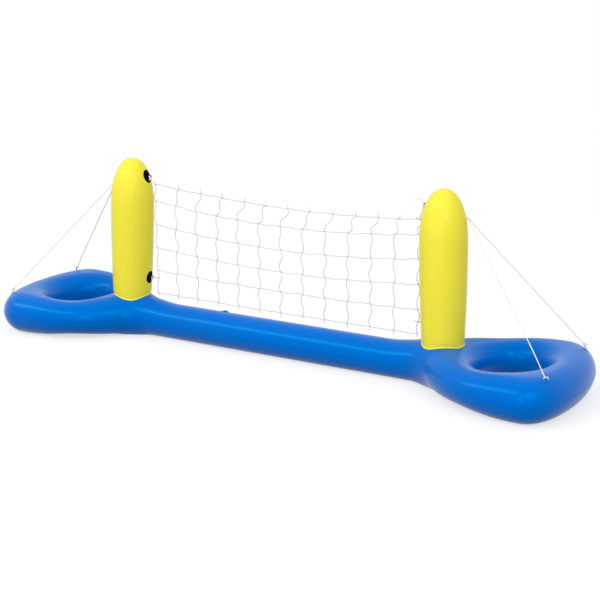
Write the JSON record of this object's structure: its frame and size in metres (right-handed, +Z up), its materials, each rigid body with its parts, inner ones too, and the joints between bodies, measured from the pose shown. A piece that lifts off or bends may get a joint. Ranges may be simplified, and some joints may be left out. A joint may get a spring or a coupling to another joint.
{
  "type": "inflatable pool volleyball net",
  "caption": "Inflatable floating base with ring ends, inflated posts on it, a knotted net tied between the posts, guy strings and plugged air valves",
  "frame": {"origin": "on the floor under the middle of the base", "axes": "+X along the base from the left post to the right post, +Y to the back across the base, +Z up"},
  "size_m": [2.44, 0.5924, 0.7169],
  "materials": {
    "blue_film": "glossy welded vinyl film",
    "yellow_film": "glossy welded vinyl film",
    "black_vinyl": "satin black vinyl",
    "white_cord": "twisted polyester cord",
    "valve_plastic": "soft moulded vinyl"
  },
  "bodies": {
    "net_set": {"base_top_sheet": "blue_film", "base_bottom_sheet": "blue_film", "left_post_skin": "yellow_film", "right_post_skin": "yellow_film", "left_post_weld_collar": "yellow_film", "right_post_weld_collar": "yellow_film", "left_upper_net_patch": "black_vinyl", "left_lower_net_patch": "black_vinyl", "right_upper_net_patch": "black_vinyl", "right_lower_net_patch": "black_vinyl", "left_guy_patch": "yellow_film", "right_guy_patch": "yellow_film", "left_front_ring_tab": "blue_film", "left_back_ring_tab": "blue_film", "right_front_ring_tab": "blue_film", "right_back_ring_tab": "blue_film", "net_mesh": "white_cord", "net_head_cord": "white_cord", "net_foot_cord": "white_cord", "left_upper_net_tie": "white_cord", "left_lower_net_tie": "white_cord", "right_upper_net_tie": "white_cord", "right_lower_net_tie": "white_cord", "left_guy_string": "white_cord", "right_guy_string": "white_cord", "base_valve_flange": "valve_plastic", "left_valve_flange": "valve_plastic", "right_valve_flange": "valve_plastic"},
    "base_stem": {"base_valve_stem": "valve_plastic", "base_valve_flap": "valve_plastic"},
    "base_plug": {"base_valve_plug": "valve_plastic"},
    "left_stem": {"left_valve_stem": "valve_plastic", "left_valve_flap": "valve_plastic"},
    "left_plug": {"left_valve_plug": "valve_plastic"},
    "right_stem": {"right_valve_stem": "valve_plastic", "right_valve_flap": "valve_plastic"},
    "right_plug": {"right_valve_plug": "valve_plastic"}
  },
  "joints": [
    {"name": "base_valve_pull_out", "type": "slide", "parent": "net_set", "child": "base_stem", "axis": [0, 0.342, 0.9397], "range_m": [0, 0.012]},
    {"name": "base_plug_pull", "type": "slide", "parent": "base_stem", "child": "base_plug", "axis": [0, 0.342, 0.9397], "range_m": [0, 0.01]},
    {"name": "left_valve_pull_out", "type": "slide", "parent": "net_set", "child": "left_stem", "axis": [0, 1, 0], "range_m": [0, 0.012]},
    {"name": "left_plug_pull", "type": "slide", "parent": "left_stem", "child": "left_plug", "axis": [0, 1, 0], "range_m": [0, 0.01]},
    {"name": "right_valve_pull_out", "type": "slide", "parent": "net_set", "child": "right_stem", "axis": [0, 1, 0], "range_m": [0, 0.012]},
    {"name": "right_plug_pull", "type": "slide", "parent": "right_stem", "child": "right_plug", "axis": [0, 1, 0], "range_m": [0, 0.01]}
  ]
}
